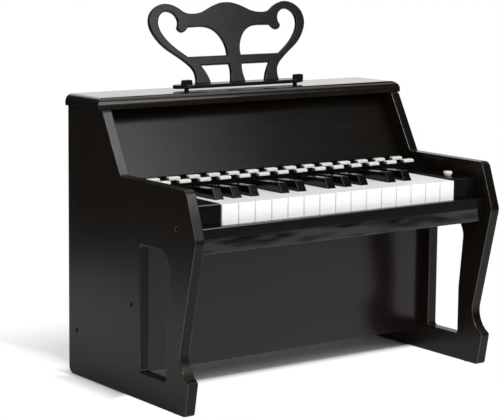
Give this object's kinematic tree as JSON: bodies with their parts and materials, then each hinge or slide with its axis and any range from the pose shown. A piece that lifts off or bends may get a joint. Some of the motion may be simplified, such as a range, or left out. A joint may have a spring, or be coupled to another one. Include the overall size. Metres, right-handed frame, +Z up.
{
  "type": "toy piano",
  "caption": "Small upright toy piano with sprung white and black keys, note lights behind them, a volume knob and a lift-off scrolled music stand.",
  "frame": {"origin": "on the floor, at the middle of the overall width and depth", "axes": "+X along the keyboard to the player's right, +Y to the back of the piano, +Z up"},
  "size_m": [0.4564, 0.2662, 0.4414],
  "materials": {
    "painted_board": "black semi-gloss paint on fibreboard",
    "back_board": "thin hardboard, matt black",
    "bare_batten": "bare softwood",
    "black_trim": "black, satin gloss",
    "light_cap": "white, translucent",
    "white_key": "white, satin gloss",
    "black_key": "black, satin",
    "knob": "white, satin",
    "steel": "plain steel",
    "control_metal": "tinned",
    "rubber": "matt dark rubber",
    "felt": "pressed felt",
    "circuit": "green circuit board",
    "speaker": "black painted steel",
    "battery_plastic": "black moulded plastic",
    "battery_cell": "plain wrapped cells",
    "stand": "dark satin moulded plastic"
  },
  "bodies": {
    "cabinet": {"side_panel_left": "painted_board", "side_panel_right": "painted_board", "top_lid": "painted_board", "music_panel": "painted_board", "knee_panel": "painted_board", "key_bed": "painted_board", "back_panel": "back_board", "top_rail": "bare_batten", "back_rail": "bare_batten", "key_slip": "black_trim", "cheek_left": "black_trim", "cheek_right": "black_trim", "light_rail": "black_trim", "note_lights_front": "light_cap", "note_lights_rear": "light_cap", "side_screws": "steel", "cover_screw": "steel", "pivot_rod": "steel", "volume_control": "control_metal", "foot_pads": "rubber", "contact_strip": "rubber", "key_stop_felt": "felt", "key_rest_felt": "felt", "circuit_board": "circuit", "light_board": "circuit", "speaker": "speaker", "battery_box": "battery_plastic", "battery_cover": "battery_plastic", "batteries": "battery_cell"},
    "white_key_01": {"white_key_01": "white_key"},
    "white_key_02": {"white_key_02": "white_key"},
    "white_key_03": {"white_key_03": "white_key"},
    "white_key_04": {"white_key_04": "white_key"},
    "white_key_05": {"white_key_05": "white_key"},
    "white_key_06": {"white_key_06": "white_key"},
    "white_key_07": {"white_key_07": "white_key"},
    "white_key_08": {"white_key_08": "white_key"},
    "white_key_09": {"white_key_09": "white_key"},
    "white_key_10": {"white_key_10": "white_key"},
    "white_key_11": {"white_key_11": "white_key"},
    "white_key_12": {"white_key_12": "white_key"},
    "white_key_13": {"white_key_13": "white_key"},
    "white_key_14": {"white_key_14": "white_key"},
    "white_key_15": {"white_key_15": "white_key"},
    "black_key_01": {"black_key_01": "black_key"},
    "black_key_02": {"black_key_02": "black_key"},
    "black_key_03": {"black_key_03": "black_key"},
    "black_key_04": {"black_key_04": "black_key"},
    "black_key_05": {"black_key_05": "black_key"},
    "black_key_06": {"black_key_06": "black_key"},
    "black_key_07": {"black_key_07": "black_key"},
    "black_key_08": {"black_key_08": "black_key"},
    "black_key_09": {"black_key_09": "black_key"},
    "black_key_10": {"black_key_10": "black_key"},
    "volume_dial": {"volume_knob": "knob", "knob_shaft": "steel"},
    "music_stand": {"stand_shelf": "stand", "stand_lyre": "stand"}
  },
  "joints": [
    {"name": "white_key_01_press", "type": "hinge", "parent": "cabinet", "child": "white_key_01", "pos_m": [-0.161, 0.022, 0.216], "axis": [1, 0, 0], "range_deg": [0, 2.7], "stiffness_Nm_per_rad": 0.6, "springref_deg": -3.44},
    {"name": "white_key_02_press", "type": "hinge", "parent": "cabinet", "child": "white_key_02", "pos_m": [-0.138, 0.022, 0.216], "axis": [1, 0, 0], "range_deg": [0, 2.7], "stiffness_Nm_per_rad": 0.6, "springref_deg": -3.44},
    {"name": "white_key_03_press", "type": "hinge", "parent": "cabinet", "child": "white_key_03", "pos_m": [-0.115, 0.022, 0.216], "axis": [1, 0, 0], "range_deg": [0, 2.7], "stiffness_Nm_per_rad": 0.6, "springref_deg": -3.44},
    {"name": "white_key_04_press", "type": "hinge", "parent": "cabinet", "child": "white_key_04", "pos_m": [-0.092, 0.022, 0.216], "axis": [1, 0, 0], "range_deg": [0, 2.7], "stiffness_Nm_per_rad": 0.6, "springref_deg": -3.44},
    {"name": "white_key_05_press", "type": "hinge", "parent": "cabinet", "child": "white_key_05", "pos_m": [-0.069, 0.022, 0.216], "axis": [1, 0, 0], "range_deg": [0, 2.7], "stiffness_Nm_per_rad": 0.6, "springref_deg": -3.44},
    {"name": "white_key_06_press", "type": "hinge", "parent": "cabinet", "child": "white_key_06", "pos_m": [-0.046, 0.022, 0.216], "axis": [1, 0, 0], "range_deg": [0, 2.7], "stiffness_Nm_per_rad": 0.6, "springref_deg": -3.44},
    {"name": "white_key_07_press", "type": "hinge", "parent": "cabinet", "child": "white_key_07", "pos_m": [-0.023, 0.022, 0.216], "axis": [1, 0, 0], "range_deg": [0, 2.7], "stiffness_Nm_per_rad": 0.6, "springref_deg": -3.44},
    {"name": "white_key_08_press", "type": "hinge", "parent": "cabinet", "child": "white_key_08", "pos_m": [0, 0.022, 0.216], "axis": [1, 0, 0], "range_deg": [0, 2.7], "stiffness_Nm_per_rad": 0.6, "springref_deg": -3.44},
    {"name": "white_key_09_press", "type": "hinge", "parent": "cabinet", "child": "white_key_09", "pos_m": [0.023, 0.022, 0.216], "axis": [1, 0, 0], "range_deg": [0, 2.7], "stiffness_Nm_per_rad": 0.6, "springref_deg": -3.44},
    {"name": "white_key_10_press", "type": "hinge", "parent": "cabinet", "child": "white_key_10", "pos_m": [0.046, 0.022, 0.216], "axis": [1, 0, 0], "range_deg": [0, 2.7], "stiffness_Nm_per_rad": 0.6, "springref_deg": -3.44},
    {"name": "white_key_11_press", "type": "hinge", "parent": "cabinet", "child": "white_key_11", "pos_m": [0.069, 0.022, 0.216], "axis": [1, 0, 0], "range_deg": [0, 2.7], "stiffness_Nm_per_rad": 0.6, "springref_deg": -3.44},
    {"name": "white_key_12_press", "type": "hinge", "parent": "cabinet", "child": "white_key_12", "pos_m": [0.092, 0.022, 0.216], "axis": [1, 0, 0], "range_deg": [0, 2.7], "stiffness_Nm_per_rad": 0.6, "springref_deg": -3.44},
    {"name": "white_key_13_press", "type": "hinge", "parent": "cabinet", "child": "white_key_13", "pos_m": [0.115, 0.022, 0.216], "axis": [1, 0, 0], "range_deg": [0, 2.7], "stiffness_Nm_per_rad": 0.6, "springref_deg": -3.44},
    {"name": "white_key_14_press", "type": "hinge", "parent": "cabinet", "child": "white_key_14", "pos_m": [0.138, 0.022, 0.216], "axis": [1, 0, 0], "range_deg": [0, 2.7], "stiffness_Nm_per_rad": 0.6, "springref_deg": -3.44},
    {"name": "white_key_15_press", "type": "hinge", "parent": "cabinet", "child": "white_key_15", "pos_m": [0.161, 0.022, 0.216], "axis": [1, 0, 0], "range_deg": [0, 2.7], "stiffness_Nm_per_rad": 0.6, "springref_deg": -3.44},
    {"name": "black_key_01_press", "type": "hinge", "parent": "cabinet", "child": "black_key_01", "pos_m": [-0.152, 0.022, 0.216], "axis": [1, 0, 0], "range_deg": [0, 2.7], "stiffness_Nm_per_rad": 0.6, "springref_deg": -3.44},
    {"name": "black_key_02_press", "type": "hinge", "parent": "cabinet", "child": "black_key_02", "pos_m": [-0.1271, 0.022, 0.216], "axis": [1, 0, 0], "range_deg": [0, 2.7], "stiffness_Nm_per_rad": 0.6, "springref_deg": -3.44},
    {"name": "black_key_03_press", "type": "hinge", "parent": "cabinet", "child": "black_key_03", "pos_m": [-0.1022, 0.022, 0.216], "axis": [1, 0, 0], "range_deg": [0, 2.7], "stiffness_Nm_per_rad": 0.6, "springref_deg": -3.44},
    {"name": "black_key_04_press", "type": "hinge", "parent": "cabinet", "child": "black_key_04", "pos_m": [-0.059, 0.022, 0.216], "axis": [1, 0, 0], "range_deg": [0, 2.7], "stiffness_Nm_per_rad": 0.6, "springref_deg": -3.44},
    {"name": "black_key_05_press", "type": "hinge", "parent": "cabinet", "child": "black_key_05", "pos_m": [-0.0342, 0.022, 0.216], "axis": [1, 0, 0], "range_deg": [0, 2.7], "stiffness_Nm_per_rad": 0.6, "springref_deg": -3.44},
    {"name": "black_key_06_press", "type": "hinge", "parent": "cabinet", "child": "black_key_06", "pos_m": [0.009, 0.022, 0.216], "axis": [1, 0, 0], "range_deg": [0, 2.7], "stiffness_Nm_per_rad": 0.6, "springref_deg": -3.44},
    {"name": "black_key_07_press", "type": "hinge", "parent": "cabinet", "child": "black_key_07", "pos_m": [0.0339, 0.022, 0.216], "axis": [1, 0, 0], "range_deg": [0, 2.7], "stiffness_Nm_per_rad": 0.6, "springref_deg": -3.44},
    {"name": "black_key_08_press", "type": "hinge", "parent": "cabinet", "child": "black_key_08", "pos_m": [0.0588, 0.022, 0.216], "axis": [1, 0, 0], "range_deg": [0, 2.7], "stiffness_Nm_per_rad": 0.6, "springref_deg": -3.44},
    {"name": "black_key_09_press", "type": "hinge", "parent": "cabinet", "child": "black_key_09", "pos_m": [0.102, 0.022, 0.216], "axis": [1, 0, 0], "range_deg": [0, 2.7], "stiffness_Nm_per_rad": 0.6, "springref_deg": -3.44},
    {"name": "black_key_10_press", "type": "hinge", "parent": "cabinet", "child": "black_key_10", "pos_m": [0.1268, 0.022, 0.216], "axis": [1, 0, 0], "range_deg": [0, 2.7], "stiffness_Nm_per_rad": 0.6, "springref_deg": -3.44},
    {"name": "volume_turn", "type": "hinge", "parent": "cabinet", "child": "volume_dial", "pos_m": [0.187, -0.0805, 0.236], "axis": [0, 0, 1], "range_deg": [-150, 150]},
    {"name": "stand_lift", "type": "slide", "parent": "cabinet", "child": "music_stand", "axis": [0, 0, 1], "range_m": [0, 0.03]}
  ]
}
